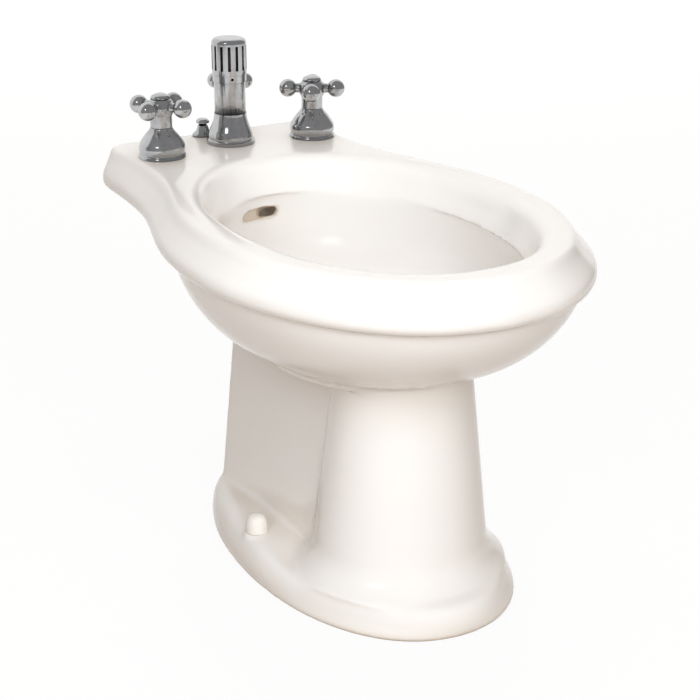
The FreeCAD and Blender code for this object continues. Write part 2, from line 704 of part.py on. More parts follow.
def china_body():
    bowl = rim_body(rim_curve()).fuse([
        bowl_body(), bowl_bead(), duct_solid(DUCT_OUTER_SHARES, DUCT_HALF_WIDTH),
        column_body(0, FOOT_HEIGHT - OVERRUN, BOWL_BASE + OVERRUN), column_flare(),
        housing_body(0, FOOT_HEIGHT - OVERRUN, HOUSING_TOP), foot_body()])
    pads = [
        cylinder(PAD_RADIUS, PAD_HEIGHT - FOOT_TOP_WALL, at(side * BOLT_X, -BOLT_Y, FOOT_TOP_WALL))
        for side in (-1, 1)]
    bowl = bowl.fuse(pads)
    cuts = [mouth_cut(), basin_cut(), foot_hollow()]
    cuts.append(column_body(WALL, -OVERRUN, BOWL_BASE))
    cuts.append(housing_body(WALL, -OVERRUN, BOWL_BASE))
    cuts += overflow_cuts() + rim_water_cuts() + deck_cuts()
    cuts.append(cylinder(DRAIN_HOLE_RADIUS, BASIN_FLOOR, at(0, -DRAIN_Y, BOWL_BASE - OVERRUN)))
    cuts.append(cylinder(SPRAY_HOLE_RADIUS, BASIN_FLOOR, at(0, -SPRAY_Y, BOWL_BASE - OVERRUN)))
    for side in (-1, 1):
        cuts.append(cylinder(BOLT_HOLE_RADIUS, PAD_HEIGHT + OVERRUN, at(side * BOLT_X, -BOLT_Y, 0)))
    for cut in cuts:
        bowl = bowl.cut(cut)
    return bowl.Solids[0]


def floor_bolt(x, y):
    head = cylinder(BOLT_HEAD_RADIUS, BOLT_HEAD_HEIGHT, at(x, y, 0))
    return cylinder(BOLT_RADIUS, PAD_HEIGHT + BOLT_STAND, at(x, y, 0)).fuse(head)


def floor_washer(x, y):
    return tube(FLOOR_WASHER_RADIUS, BOLT_RADIUS + SEAT, FLOOR_WASHER_THICKNESS, at(x, y, PAD_HEIGHT))


def floor_nut(x, y):
    base = at(x, y, PAD_HEIGHT + FLOOR_WASHER_THICKNESS)
    return hexagon(FLOOR_NUT_RADIUS, BOLT_RADIUS + SEAT, FLOOR_NUT_HEIGHT, base)


def bolt_cap(x, y):
    hollow = CAP_HEIGHT * CAP_HOLLOW_SHARE
    inside = CAP_RADIUS - CAP_WALL
    outline = [(CAP_RADIUS * out, CAP_HEIGHT * rise) for out, rise in CAP_PROFILE_SHARES]
    return turned(outline + [(0, hollow), (inside, hollow), (inside, 0)], at(x, y, PAD_HEIGHT))


def both_bolts(piece):
    return Part.makeCompound([piece(side * BOLT_X, -BOLT_Y) for side in (-1, 1)])


def toward(start, end):
    flat = V(end.x - start.x, end.y - start.y, 0)
    return flat.normalize()


def boss(centre, heading, radius, reach, bore):
    outer = Part.makeCylinder(radius, reach, centre, heading)
    return outer, Part.makeCylinder(bore, reach + OVERRUN, centre, heading)


def valve_body(place, target):
    low = V(place.x, place.y, LINK_Z - VALVE_BODY_HEIGHT / 2)
    centre = V(place.x, place.y, LINK_Z)
    body = cylinder(VALVE_BODY_RADIUS, VALVE_BODY_HEIGHT, low)
    top = DECK + SHANK_ABOVE
    body = body.fuse(cylinder(SHANK_RADIUS, top - low.z, low))
    body = body.fuse(cylinder(INLET_RADIUS, INLET_LENGTH, low - UP * INLET_LENGTH))
    outlet, passage = boss(centre, toward(place, target), BOSS_RADIUS, BOSS_REACH, LINK_RADIUS - LINK_WALL)
    body = body.fuse(outlet).cut(passage)
    body = body.cut(cylinder(INLET_BORE, INLET_LENGTH + VALVE_BODY_HEIGHT / 2, low - UP * INLET_LENGTH))
    return body.cut(cylinder(STEM_RADIUS + RUN, STEM_DEPTH, V(place.x, place.y, top - STEM_DEPTH)))


def transfer_body():
    low = V(TRANSFER.x, TRANSFER.y, LINK_Z - VALVE_BODY_HEIGHT / 2)
    centre = V(TRANSFER.x, TRANSFER.y, LINK_Z)
    top = DECK + SHANK_ABOVE
    body = cylinder(TRANSFER_BODY_RADIUS, VALVE_BODY_HEIGHT, low)
    body = body.fuse(cylinder(TRANSFER_SHANK_RADIUS, top - low.z, low))
    bore = LINK_RADIUS - LINK_WALL
    inlet, inlet_bore = boss(centre, toward(TRANSFER, TOWER), BOSS_RADIUS, SHORT_REACH, bore)
    outlet = V(TRANSFER.x, TRANSFER.y, RIM_TUBE_Z)
    rim, rim_bore = boss(outlet, V(0, -1, 0), OUTLET_RADIUS, OUTLET_REACH, bore)
    spray = cylinder(SPRAY_BOSS_RADIUS, SPRAY_BOSS_DROP, low - UP * SPRAY_BOSS_DROP)
    rise = RIM_TUBE_Z - low.z + SPRAY_BOSS_DROP
    core = cylinder(bore, rise, low - UP * SPRAY_BOSS_DROP)
    body = body.fuse([inlet, rim, spray])
    for cut in (inlet_bore, rim_bore, core):
        body = body.cut(cut)
    return body.cut(cylinder(STEM_RADIUS + RUN, STEM_DEPTH, V(TRANSFER.x, TRANSFER.y, top - STEM_DEPTH)))


def tower_body():
    low = V(TOWER.x, TOWER.y, LINK_Z - VALVE_BODY_HEIGHT / 2)
    centre = V(TOWER.x, TOWER.y, LINK_Z)
    body = cylinder(VALVE_BODY_RADIUS, VALVE_BODY_HEIGHT, low)
    body = body.fuse(cylinder(TOWER_SHANK_RADIUS, DECK + COLLAR_AT - low.z, low))
    neck = TOWER_BELL_HEIGHT + APART
    body = body.fuse(cylinder(TOWER_RADIUS, COLLAR_AT - neck, TOWER + UP * neck))
    passages = [cylinder(TOWER_BORE, DECK + COLLAR_AT - LINK_Z, centre)]
    for other, reach in ((HOT, BOSS_REACH), (COLD, BOSS_REACH), (TRANSFER, SHORT_REACH)):
        arm, bore = boss(centre, toward(TOWER, other), BOSS_RADIUS, reach, LINK_RADIUS - LINK_WALL)
        body = body.fuse(arm)
        passages.append(bore)
    for passage in passages:
        body = body.cut(passage)
    return body


def tower_collar():
    ring = tube(COLLAR_RADIUS, COLLAR_BORE, COLLAR_HEIGHT, TOWER + UP * COLLAR_AT)
    turn = math.radians(PORT_TURN)
    heading = V(-math.sin(turn), -math.cos(turn), 0)
    middle = TOWER + UP * (COLLAR_AT + COLLAR_HEIGHT / 2)
    port = cylinder(COLLAR_PORT_RADIUS, COLLAR_RADIUS + OVERRUN, middle, heading)
    return ring.cut(port)


def tower_hood():
    foot = COLLAR_AT + COLLAR_HEIGHT
    height = TOWER_HEIGHT - foot
    hood = cylinder(HOOD_RADIUS, height, TOWER + UP * foot)
    top = DECK + TOWER_HEIGHT - SEAT
    rim = [edge for edge in hood.Edges if edge.BoundBox.ZMin > top and len(edge.Vertexes) == 1]
    hood = hood.makeFillet(HOOD_ROUND, rim)
    hood = hood.cut(cylinder(HOOD_RADIUS - HOOD_WALL, height - HOOD_TOP_WALL, TOWER + UP * foot))
    low = foot + SLOT_LOW
    for slot in range(SLOTS):
        turn = math.radians(360 * (slot + 0.5) / SLOTS)
        heading = V(math.cos(turn), math.sin(turn), 0)
        across = V(-heading.y, heading.x, 0) * (SLOT_WIDTH / 2)
        start = TOWER + UP * low + heading * (HOOD_RADIUS - HOOD_WALL * 2) - across
        corner = [start, start + across * 2, start + across * 2 + UP * SLOT_LENGTH, start + UP * SLOT_LENGTH]
        face = Part.Face(Part.makePolygon(corner + corner[:1]))
        hood = hood.cut(face.extrude(heading * (HOOD_WALL * 3)))
    return hood


def tower_float():
    rest = TOWER + UP * (COLLAR_AT + COLLAR_HEIGHT + SEAT)
    disc = cylinder(FLOAT_RADIUS, FLOAT_HEIGHT, rest)
    return disc.fuse(cylinder(FLOAT_STEM_RADIUS, FLOAT_STEM_LENGTH, rest - UP * FLOAT_STEM_LENGTH))


def bell(place, radius, height, wall, shares, mouth):
    outer = [V(radius * across, 0, height * up) for across, up in shares]
    edges = [Part.makeLine(outer[0], outer[1])]
    for low, middle, high in zip(outer[1::2], outer[2::2], outer[3::2]):
        edges.append(Part.Arc(low, middle, high).toShape())
    inner = [V(mouth, 0, height)]
    for spot in reversed(outer[1::2]):
        inner.append(V(max(spot.x - wall, mouth), 0, spot.z - wall / 2))
    inner.append(V(radius - wall, 0, 0))
    for start, end in zip([outer[-1]] + inner, inner + [outer[0]]):
        edges.append(Part.makeLine(start, end))
    shell = Part.Face(Part.Wire(edges)).revolve(V(0, 0, 0), UP, 360)
    shell.translate(place)
    return shell


def arm_pair(circle, ball, arm, root):
    neck = circle - math.sqrt(ball * ball - arm * arm)
    tip = circle + ball
    edges = []
    for side in (1, -1):
        edges.append(Part.makeLine(V(0, 0, root), V(neck * side, 0, arm)))
        ends = [V(neck * side, 0, arm), V(circle * side, 0, ball), V(tip * side, 0, 0)]
        edges.append(Part.Arc(*ends).toShape())
    edges.append(Part.makeLine(V(tip, 0, 0), V(-tip, 0, 0)))
    return Part.Face(Part.Wire(Part.__sortEdges__(edges))).revolve(V(0, 0, 0), V(1, 0, 0), 360)


def cross_handle(place, plane, circle, ball, arm, root, hub, waist, turn):
    low = BELL_HEIGHT + APART
    body = turned([
        (0, low), (waist, low), (waist, plane - HUB_LOW), (hub, plane - HUB_LOW / 2),
        (hub, plane + HUB_TOP / 2), (hub - HUB_TOP / 2, plane + HUB_TOP), (0, plane + HUB_TOP)], V(0, 0, 0))
    along = arm_pair(circle, ball, arm, root)
    across = along.copy()
    across.rotate(V(0, 0, 0), UP, 90)
    for pair in (along, across):
        pair.translate(UP * plane)
        body = body.fuse(pair)
    body = body.cut(cylinder(STEM_RADIUS + SEAT, plane - low, UP * low))
    body.rotate(V(0, 0, 0), UP, turn)
    body.translate(place)
    return body


def stem(place, plane):
    low = SHANK_ABOVE - STEM_DEPTH + APART
    return cylinder(STEM_RADIUS, plane - low - SEAT, place + UP * low)


def button(place, plane, radius):
    low = plane + HUB_TOP
    profile = [
        (radius, low), (radius, low + BUTTON_LIP), (radius * math.sqrt(3) / 2, low + BUTTON_HEIGHT * 2 / 3),
        (radius / 2, low + BUTTON_HEIGHT), (0, low + BUTTON_HEIGHT), (0, low)]
    return turned(profile, place)


def link(start, end, reach):
    heading = toward(start, end)
    low = V(start.x, start.y, LINK_Z) + heading * reach
    span = math.hypot(end.x - start.x, end.y - start.y) - reach * 2
    return tube(LINK_RADIUS, LINK_RADIUS - LINK_WALL, span, low, heading)


def rim_tube():
    start = at(TRANSFER_X, TRANSFER_Y - OUTLET_REACH, RIM_TUBE_Z)
    return tube(LINK_RADIUS, LINK_RADIUS - LINK_WALL, start.y + RIM_TUBE_END, start, V(0, -1, 0))


def spray_tube():
    start = V(TRANSFER.x, TRANSFER.y, LINK_Z - VALVE_BODY_HEIGHT / 2 - SPRAY_BOSS_DROP)
    level = BOWL_BASE - SPRAY_BOSS_LEVEL
    points = [
        start, V(TRANSFER.x, TRANSFER.y, level + SPRAY_TUBE_FALL),
        V(SPRAY_TUBE_X, -SPRAY_TUBE_BACK, level), V(SPRAY_TUBE_X, SPRAY.y, level),
        V(SPRAY_BOSS_REACH, SPRAY.y, level)]
    return pipe(points, SPRAY_TUBE_BEND, LINK_RADIUS, LINK_WALL)


def spray_head():
    flange = turned([
        (0, 0), (SPRAY_FLANGE_RADIUS, 0), (SPRAY_FLANGE_RADIUS, SPRAY_FLANGE_HEIGHT / 3),
        (SPRAY_DOME_RADIUS, SPRAY_FLANGE_HEIGHT),
        (SPRAY_DOME_RADIUS * math.sqrt(3) / 2, SPRAY_DOME_HEIGHT * 3 / 4),
        (SPRAY_DOME_RADIUS / 2, SPRAY_DOME_HEIGHT), (0, SPRAY_DOME_HEIGHT)], SPRAY)
    body = flange.fuse(cylinder(SPRAY_SHANK_RADIUS, SPRAY_DEPTH, SPRAY - UP * SPRAY_DEPTH))
    level = V(SPRAY.x, SPRAY.y, BOWL_BASE - SPRAY_BOSS_LEVEL)
    arm, passage = boss(level, V(1, 0, 0), BOSS_RADIUS, SPRAY_BOSS_REACH, LINK_RADIUS - LINK_WALL)
    body = body.fuse(arm).cut(passage)
    bore = SPRAY_SHANK_RADIUS - LINK_WALL * 3
    body = body.cut(cylinder(bore, BASIN_FLOOR - level.z, level))
    for jet in range(SPRAY_JETS):
        angle = math.radians(360 * jet / SPRAY_JETS)
        spot = SPRAY + V(math.cos(angle), math.sin(angle), 0) * SPRAY_JET_CIRCLE - UP * OVERRUN
        body = body.cut(cylinder(SPRAY_JET_RADIUS, OVERRUN + SPRAY_DOME_HEIGHT * 2, spot))
    return body


def under_gasket(place, radius, bore):
    return tube(radius, bore, GASKET_THICKNESS, V(place.x, place.y, BOWL_BASE - GASKET_THICKNESS))


def under_nut(place, radius, bore, height):
    return hexagon(radius, bore, height, V(place.x, place.y, BOWL_BASE - GASKET_THICKNESS - height))


def drain_flange():
    top = DRAIN + UP * DRAIN_FLANGE_HEIGHT
    flange = cylinder(DRAIN_FLANGE_RADIUS, DRAIN_FLANGE_HEIGHT, DRAIN)
    flange = flange.fuse(cylinder(DRAIN_TUBE_RADIUS, DRAIN_TUBE_LENGTH, top - UP * DRAIN_TUBE_LENGTH))
    low = top - UP * (DRAIN_TUBE_LENGTH + OVERRUN)
    flange = flange.cut(cylinder(DRAIN_BORE, DRAIN_TUBE_LENGTH + OVERRUN * 2, low))
    window = THROAT_HEIGHT
    for heading in (V(1, 0, 0), V(0, 1, 0)):
        start = V(DRAIN.x, DRAIN.y, THROAT_LOW + window / 2) - heading * DRAIN_HOLE_RADIUS
        flange = flange.cut(cylinder(window / 2, DRAIN_HOLE_RADIUS * 2, start, heading))
    return flange


def drain_body():
    top = BASIN_FLOOR + DRAIN_FLANGE_HEIGHT - DRAIN_TUBE_LENGTH + DRAIN_SOCKET
    low = V(DRAIN.x, DRAIN.y, top - DRAIN_BODY_LENGTH)
    body = cylinder(DRAIN_BODY_RADIUS, DRAIN_BODY_LENGTH, low)
    level = V(DRAIN.x, DRAIN.y, PIVOT.z)
    body = body.fuse(cylinder(PORT_RADIUS, PORT_LENGTH, level, DRAIN_LINE))
    body = body.cut(cylinder(DRAIN_BORE, DRAIN_BODY_LENGTH + OVERRUN * 2, low - UP * OVERRUN))
    socket = V(low.x, low.y, top - DRAIN_SOCKET)
    body = body.cut(cylinder(DRAIN_TUBE_RADIUS + SEAT, DRAIN_SOCKET + OVERRUN, socket))
    return body.cut(cylinder(PIVOT_BALL_RADIUS + RUN, PORT_LENGTH + OVERRUN, level, DRAIN_LINE))


def pivot_cap():
    level = V(DRAIN.x, DRAIN.y, PIVOT.z) + DRAIN_LINE * PIVOT_CAP_START
    cap = cylinder(PIVOT_CAP_RADIUS, PIVOT_CAP_LENGTH, level, DRAIN_LINE)
    depth = PIVOT_CAP_LENGTH - PIVOT_CAP_WALL
    cap = cap.cut(cylinder(PORT_RADIUS + SEAT, depth, level, DRAIN_LINE))
    return cap.cut(cylinder(PIVOT_CAP_HOLE, PIVOT_CAP_LENGTH + OVERRUN, level, DRAIN_LINE))


def pivot_rod():
    tilt = DRAIN_LINE * math.cos(PIVOT_TILT) - UP * math.sin(PIVOT_TILT)
    start = PIVOT - tilt * (PIVOT_ROD_INNER / math.cos(PIVOT_TILT))
    length = (PIVOT_ROD_INNER + PIVOT_SPAN + PIVOT_TAIL) / math.cos(PIVOT_TILT)
    ball = Part.makeSphere(PIVOT_BALL_RADIUS, PIVOT, UP.cross(DRAIN_LINE))
    return cylinder(PIVOT_ROD_RADIUS, length, start, tilt).fuse(ball)


def tail_nut():
    low = BASIN_FLOOR + DRAIN_FLANGE_HEIGHT - DRAIN_TUBE_LENGTH + DRAIN_SOCKET - DRAIN_BODY_LENGTH
    base = V(DRAIN.x, DRAIN.y, low - TAIL_NUT_HEIGHT / 2)
    nut = hexagon(TAIL_NUT_RADIUS, TAIL_SHOULDER_RADIUS + SEAT, TAIL_NUT_HEIGHT, base)
    return nut.cut(cylinder(DRAIN_BODY_RADIUS + SEAT, TAIL_NUT_HEIGHT, V(DRAIN.x, DRAIN.y, low - SEAT)))


def tailpiece():
    top = BASIN_FLOOR + DRAIN_FLANGE_HEIGHT - DRAIN_TUBE_LENGTH + DRAIN_SOCKET - DRAIN_BODY_LENGTH - SEAT
    pipe_end = V(DRAIN.x, DRAIN.y, top - TAILPIECE_LENGTH)
    shoulder = V(DRAIN.x, DRAIN.y, top - TAIL_SHOULDER_LENGTH)
    body = cylinder(TAILPIECE_RADIUS, TAILPIECE_LENGTH - TAIL_SHOULDER_LENGTH, pipe_end)
    body = body.fuse(cylinder(TAIL_SHOULDER_RADIUS, TAIL_SHOULDER_LENGTH, shoulder))
    return body.cut(cylinder(TAILPIECE_BORE, TAILPIECE_LENGTH + OVERRUN * 2, pipe_end - UP * OVERRUN))


def stopper():
    seat = BASIN_FLOOR + DRAIN_FLANGE_HEIGHT + STOPPER_GAP + STOPPER_LIFT
    place = V(DRAIN.x, DRAIN.y, seat)
    plug = turned([
        (0, 0), (STOPPER_RADIUS, 0), (STOPPER_RADIUS, STOPPER_HEIGHT - STOPPER_DOME),
        (STOPPER_RADIUS * math.sqrt(3) / 2, STOPPER_HEIGHT - STOPPER_DOME / 3),
        (STOPPER_RADIUS / 2, STOPPER_HEIGHT), (0, STOPPER_HEIGHT)], place)
    eye = PIVOT.z + STOPPER_LIFT / 2
    low = eye - STOPPER_STEM_END
    plug = plug.fuse(cylinder(STOPPER_STEM_RADIUS, seat - low, V(DRAIN.x, DRAIN.y, low)))
    for fin in range(FINS):
        blade = Part.makeBox(FIN_REACH, FIN_THICKNESS, FIN_HEIGHT, V(0, -FIN_THICKNESS / 2, 0))
        blade.rotate(V(0, 0, 0), UP, 360 * fin / FINS)
        blade.translate(place - UP * (FIN_TOP + FIN_HEIGHT))
        plug = plug.fuse(blade)
    start = V(DRAIN.x, DRAIN.y, eye) - DRAIN_LINE * (STOPPER_STEM_RADIUS * 2)
    return plug.cut(cylinder(STOPPER_EYE_RADIUS, STOPPER_STEM_RADIUS * 4, start, DRAIN_LINE))


def rod_guide():
    middle = mix(GUIDE_TOP_RADIUS, GUIDE_RADIUS, GUIDE_WAIST_SHARE)
    guide = turned([
        (0, 0), (GUIDE_RADIUS, 0), (GUIDE_RADIUS, GUIDE_EDGE), (middle, GUIDE_HEIGHT / 2),
        (GUIDE_TOP_RADIUS, GUIDE_HEIGHT), (0, GUIDE_HEIGHT)], LIFT)
    sleeve = DECK_THICKNESS / 2
    guide = guide.fuse(cylinder(ROD_HOLE_RADIUS - SEAT, sleeve, LIFT - UP * sleeve))
    return guide.cut(cylinder(LIFT_ROD_RADIUS + RUN, sleeve * 2 + GUIDE_HEIGHT, LIFT - UP * (sleeve * 2)))


def lift_rod():
    top = LIFT + UP * (GUIDE_HEIGHT + APART + KNOB_NECK + KNOB_HEIGHT / 2)
    return cylinder(LIFT_ROD_RADIUS, LIFT_ROD_LENGTH, top - UP * LIFT_ROD_LENGTH)


def lift_knob():
    foot = LIFT + UP * (GUIDE_HEIGHT + APART)
    top = KNOB_NECK + KNOB_HEIGHT
    knob = turned([
        (0, 0), (KNOB_NECK_RADIUS, 0), (KNOB_NECK_RADIUS, KNOB_NECK),
        (KNOB_RADIUS, KNOB_NECK + KNOB_HEIGHT / 4), (KNOB_RADIUS, mix(KNOB_NECK, top, KNOB_SIDE_SHARE)),
        (KNOB_RADIUS * KNOB_TOP_SHARE, top), (0, top)], foot)
    return knob.cut(cylinder(LIFT_ROD_RADIUS + SEAT, KNOB_NECK + KNOB_HEIGHT / 2 + SEAT, foot))


def clevis():
    half = CLEVIS_SIZE / 2
    block_low = LIFT.z - CLEVIS_AT - CLEVIS_HEIGHT
    block = Part.makeBox(CLEVIS_SIZE, CLEVIS_SIZE, CLEVIS_HEIGHT, V(LIFT.x - half, LIFT.y - half, block_low))
    low = ROD_END.z - STRAP_EDGE
    corner = V(LIFT.x - STRAP_WIDTH / 2, LIFT.y - STRAP_THICKNESS / 2, low)
    strap = Part.makeBox(STRAP_WIDTH, STRAP_THICKNESS, block_low - low, corner)
    piece = block.fuse(strap)
    piece = piece.cut(cylinder(LIFT_ROD_RADIUS + SEAT, CLEVIS_HEIGHT, V(LIFT.x, LIFT.y, block_low)))
    middle = V(LIFT.x, LIFT.y, block_low + CLEVIS_HEIGHT / 2)
    piece = piece.cut(cylinder(SCREW_SHANK_RADIUS + SEAT, CLEVIS_SIZE, middle, V(0, 1, 0)))
    for hole in range(STRAP_HOLES):
        spot = V(LIFT.x, LIFT.y - STRAP_THICKNESS * 2, ROD_END.z + STRAP_PITCH * hole)
        piece = piece.cut(cylinder(STRAP_HOLE_RADIUS, STRAP_THICKNESS * 4, spot, V(0, 1, 0)))
    return piece


def clevis_screw():
    level = LIFT.z - CLEVIS_AT - CLEVIS_HEIGHT / 2
    start = V(LIFT.x, LIFT.y + LIFT_ROD_RADIUS + SEAT, level)
    shank = CLEVIS_SIZE / 2 + SCREW_STAND - LIFT_ROD_RADIUS
    screw = cylinder(SCREW_SHANK_RADIUS, shank + SCREW_HEAD_LENGTH, start, V(0, 1, 0))
    return screw.fuse(cylinder(SCREW_HEAD_RADIUS, SCREW_HEAD_LENGTH, start + V(0, shank, 0), V(0, 1, 0)))


def deck_washer(place, radius, bore):
    return tube(radius, bore, DECK_WASHER_THICKNESS, V(place.x, place.y, NUT_TOP))


def deck_nut(place, radius, bore):
    return hexagon(radius, bore, LOCKNUT_HEIGHT, V(place.x, place.y, NUT_TOP - LOCKNUT_HEIGHT))


def large_set(piece, radius):
    return Part.makeCompound([piece(place, radius, SHANK_RADIUS + SEAT) for place in (HOT, COLD, TOWER)])


def valve_bell(place):
    mouth = BELL_WAIST_RADIUS - BELL_WALL
    return bell(place, BELL_RADIUS, BELL_HEIGHT, BELL_WALL, BELL_PROFILE_SHARES, mouth)


def tap_handle(place, turn):
    return cross_handle(
        place, BALL_PLANE, BALL_CIRCLE, BALL_RADIUS, ARM_RADIUS, ARM_ROOT_RADIUS, HUB_RADIUS,
        HUB_WAIST_RADIUS, turn)


def all_pieces():
    pieces = {
        "china_body": china_body(),
        "floor_bolts": both_bolts(floor_bolt),
        "floor_washers": both_bolts(floor_washer),
        "floor_nuts": both_bolts(floor_nut),
        "bolt_caps": both_bolts(bolt_cap),
        "deck_washers": large_set(deck_washer, DECK_WASHER_RADIUS),
        "deck_locknuts": large_set(deck_nut, LOCKNUT_RADIUS),
        "transfer_washer": deck_washer(TRANSFER, TRANSFER_WASHER_RADIUS, TRANSFER_SHANK_RADIUS + SEAT),
        "transfer_locknut": deck_nut(TRANSFER, TRANSFER_NUT_RADIUS, TRANSFER_SHANK_RADIUS + SEAT),
        "hot_valve": valve_body(HOT, TOWER),
        "cold_valve": valve_body(COLD, TOWER),
        "transfer_valve": transfer_body(),
        "hot_bell": valve_bell(HOT),
        "cold_bell": valve_bell(COLD),
        "transfer_bell": bell(
            TRANSFER, TRANSFER_BELL_RADIUS, BELL_HEIGHT, BELL_WALL, BELL_PROFILE_SHARES,
            TRANSFER_WAIST_RADIUS - BELL_WALL),
        "tower_bell": bell(
            TOWER, TOWER_BELL_RADIUS, TOWER_BELL_HEIGHT, BELL_WALL, TOWER_BELL_PROFILE_SHARES,
            TOWER_SHANK_RADIUS + APART),
        "tower_body": tower_body(),
        "tower_collar": tower_collar(),
        "tower_hood": tower_hood(),
        "tower_float": tower_float(),
        "hot_handle": tap_handle(HOT, HOT_TURN),
        "cold_handle": tap_handle(COLD, COLD_TURN),
        "transfer_handle": cross_handle(
            TRANSFER, TRANSFER_BALL_PLANE, TRANSFER_BALL_CIRCLE, TRANSFER_BALL_RADIUS, TRANSFER_ARM_RADIUS,
            TRANSFER_ARM_ROOT_RADIUS, TRANSFER_HUB_RADIUS, TRANSFER_WAIST_RADIUS, TRANSFER_TURN),
        "hot_stem": stem(HOT, BALL_PLANE),
        "cold_stem": stem(COLD, BALL_PLANE),
        "transfer_stem": stem(TRANSFER, TRANSFER_BALL_PLANE),
        "hot_button": button(HOT, BALL_PLANE, BUTTON_RADIUS),
        "cold_button": button(COLD, BALL_PLANE, BUTTON_RADIUS),
        "transfer_button": button(TRANSFER, TRANSFER_BALL_PLANE, TRANSFER_BUTTON_RADIUS),
        "hot_link": link(HOT, TOWER, BOSS_REACH),
        "cold_link": link(COLD, TOWER, BOSS_REACH),
        "transfer_link": link(TOWER, TRANSFER, SHORT_REACH),
        "rim_tube": rim_tube(),
        "spray_tube": spray_tube(),
        "spray_head": spray_head(),
        "spray_gasket": under_gasket(SPRAY, SPRAY_GASKET_RADIUS, SPRAY_SHANK_RADIUS + SEAT),
        "spray_locknut": under_nut(SPRAY, SPRAY_NUT_RADIUS, SPRAY_SHANK_RADIUS + SEAT, SPRAY_NUT_HEIGHT),
        "drain_flange": drain_flange(),
        "drain_gasket": under_gasket(DRAIN, DRAIN_GASKET_RADIUS, DRAIN_TUBE_RADIUS + SEAT),
        "drain_locknut": under_nut(DRAIN, DRAIN_NUT_RADIUS, DRAIN_TUBE_RADIUS + SEAT, DRAIN_NUT_HEIGHT),
        "drain_body": drain_body(),
        "pivot_cap": pivot_cap(),
        "pivot_rod": pivot_rod(),
        "tail_nut": tail_nut(),
        "tailpiece": tailpiece(),
        "stopper": stopper(),
        "rod_guide": rod_guide(),
        "lift_rod": lift_rod(),
        "lift_knob": lift_knob(),
        "clevis": clevis(),
        "clevis_screw": clevis_screw(),
    }
    return pieces


def main():
    os.makedirs("parts", exist_ok=True)
    for name, shape in all_pieces().items():
        shape.translate(MIDDLE_SHIFT)
        if not shape.isValid():
            print("not valid", name)
        shape.exportStep("parts/" + name + ".step")
    print("pivot at", PIVOT + MIDDLE_SHIFT)
    print("pivot reach", PIVOT_SPAN, "line", DRAIN_LINE)


if __name__ == "__main__":
    main()
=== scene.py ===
import math

import bmesh
import bpy
from mathutils import Matrix, Vector
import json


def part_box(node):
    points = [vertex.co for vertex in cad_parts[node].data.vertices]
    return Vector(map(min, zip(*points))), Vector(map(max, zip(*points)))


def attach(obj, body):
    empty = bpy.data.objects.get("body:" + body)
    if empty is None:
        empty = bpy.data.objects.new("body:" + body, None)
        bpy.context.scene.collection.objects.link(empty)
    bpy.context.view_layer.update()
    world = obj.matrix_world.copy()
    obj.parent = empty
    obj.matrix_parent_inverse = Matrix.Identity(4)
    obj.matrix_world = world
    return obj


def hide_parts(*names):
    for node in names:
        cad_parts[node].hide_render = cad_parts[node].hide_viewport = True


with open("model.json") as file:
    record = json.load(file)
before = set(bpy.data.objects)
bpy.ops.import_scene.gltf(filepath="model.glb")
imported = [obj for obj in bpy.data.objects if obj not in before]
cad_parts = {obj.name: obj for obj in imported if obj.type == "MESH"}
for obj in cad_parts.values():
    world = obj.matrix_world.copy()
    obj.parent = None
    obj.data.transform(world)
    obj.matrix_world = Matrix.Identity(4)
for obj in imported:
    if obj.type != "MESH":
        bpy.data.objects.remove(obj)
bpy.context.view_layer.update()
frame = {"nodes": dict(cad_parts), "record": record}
scene = bpy.context.scene
print("frame loaded:", len(frame["nodes"]), "nodes")


cameraFacts = {
    "turn": -30.582,                    # degrees round the object, 0 looks along +Y
    "rise": 21.443,                     # degrees above the horizon
    "roll": 0.258,
    "target": (0.0, -0.026, 0.190),
    "distance": 1.7,
    "aside": (0.0026975, -0.0300256),   # how far the target stands off the middle of the frame
    "lens": 84.69,
    "clip": (0.05, 50.0),
}


def makeCamera(facts):
    turn, rise, roll = (math.radians(facts[key]) for key in ("turn", "rise", "roll"))
    side = Vector((math.cos(turn), math.sin(turn), 0))
    away = Vector((math.sin(turn), -math.cos(turn), 0))
    back = away * math.cos(rise) + Vector((0, 0, math.sin(rise)))
    up = back.cross(side)
    right = side * math.cos(roll) + up * math.sin(roll)
    above = up * math.cos(roll) - side * math.sin(roll)
    place = Vector(facts["target"]) + back * facts["distance"]
    place -= right * facts["aside"][0] + above * facts["aside"][1]
    data = bpy.data.cameras.new("photoCamera")
    data.lens = facts["lens"]
    data.clip_start, data.clip_end = facts["clip"]
    camera = bpy.data.objects.new("photoCamera", data)
    scene.collection.objects.link(camera)
    turnTo = Matrix((right, above, back)).transposed().to_4x4()
    camera.matrix_world = Matrix.Translation(place) @ turnTo
    scene.camera = camera


makeCamera(cameraFacts)
print("camera placed")


class Sock:                             # a node socket that can be added, multiplied and mixed
    def __init__(self, maker, socket):
        self.maker = maker
        self.socket = socket

    def calc(self, kind, other, clamp=False):
        settings = {"operation": kind, "use_clamp": clamp}
        return self.maker.node("ShaderNodeMath", settings, {0: self, 1: other})

    def __add__(self, other):
        return self.calc("ADD", other)

    def __sub__(self, other):
        return self.calc("SUBTRACT", other)

    def __rsub__(self, other):
        return self.maker.node("ShaderNodeMath", {"operation": "SUBTRACT"}, {0: other, 1: self})

    def __mul__(self, other):
        return self.calc("MULTIPLY", other)

    def __pow__(self, other):
        return self.calc("POWER", other)

    __radd__ = __add__
    __rmul__ = __mul__

    def clamped(self):
        return self.calc("ADD", 0.0, clamp=True)

    def sibling(self, out):             # another output of the same node
        return Sock(self.maker, self.socket.node.outputs[out])


